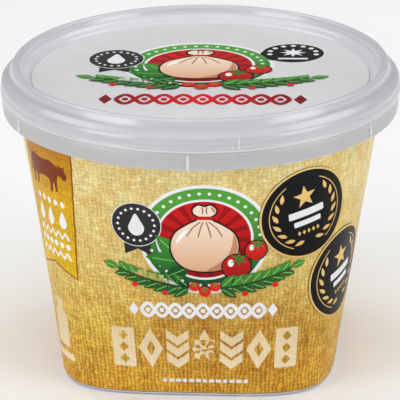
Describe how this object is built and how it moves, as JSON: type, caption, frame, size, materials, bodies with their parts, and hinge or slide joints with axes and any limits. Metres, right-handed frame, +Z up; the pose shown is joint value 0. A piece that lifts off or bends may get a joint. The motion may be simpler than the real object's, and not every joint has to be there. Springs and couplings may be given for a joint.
{
  "type": "lidded cheese tub",
  "caption": "Shut round-rimmed food tub with a rounded-square foot, press-on lid with a stacking bead, wrap label, lid label and award stickers.",
  "frame": {"origin": "centre of the flat foot, on the surface the tub stands on", "axes": "+Z up through the middle of the lid, the front of the label faces -Y, +X to the right seen from the front"},
  "size_m": [0.1, 0.1, 0.077],
  "materials": {
    "tub_plastic": "milky translucent moulded polypropylene, satin gloss",
    "lid_plastic": "milky translucent moulded polypropylene, satin gloss",
    "wrap_print": "printed film with a sackcloth pattern, satin",
    "lid_print": "printed white film, satin",
    "sticker_print": "black and gold printed film, gloss"
  },
  "bodies": {
    "root": {"tub": "tub_plastic", "lid": "lid_plastic", "tub_label": "wrap_print", "lid_label": "lid_print", "award_sticker_front": "sticker_print", "award_sticker_side": "sticker_print"}
  },
  "joints": []
}
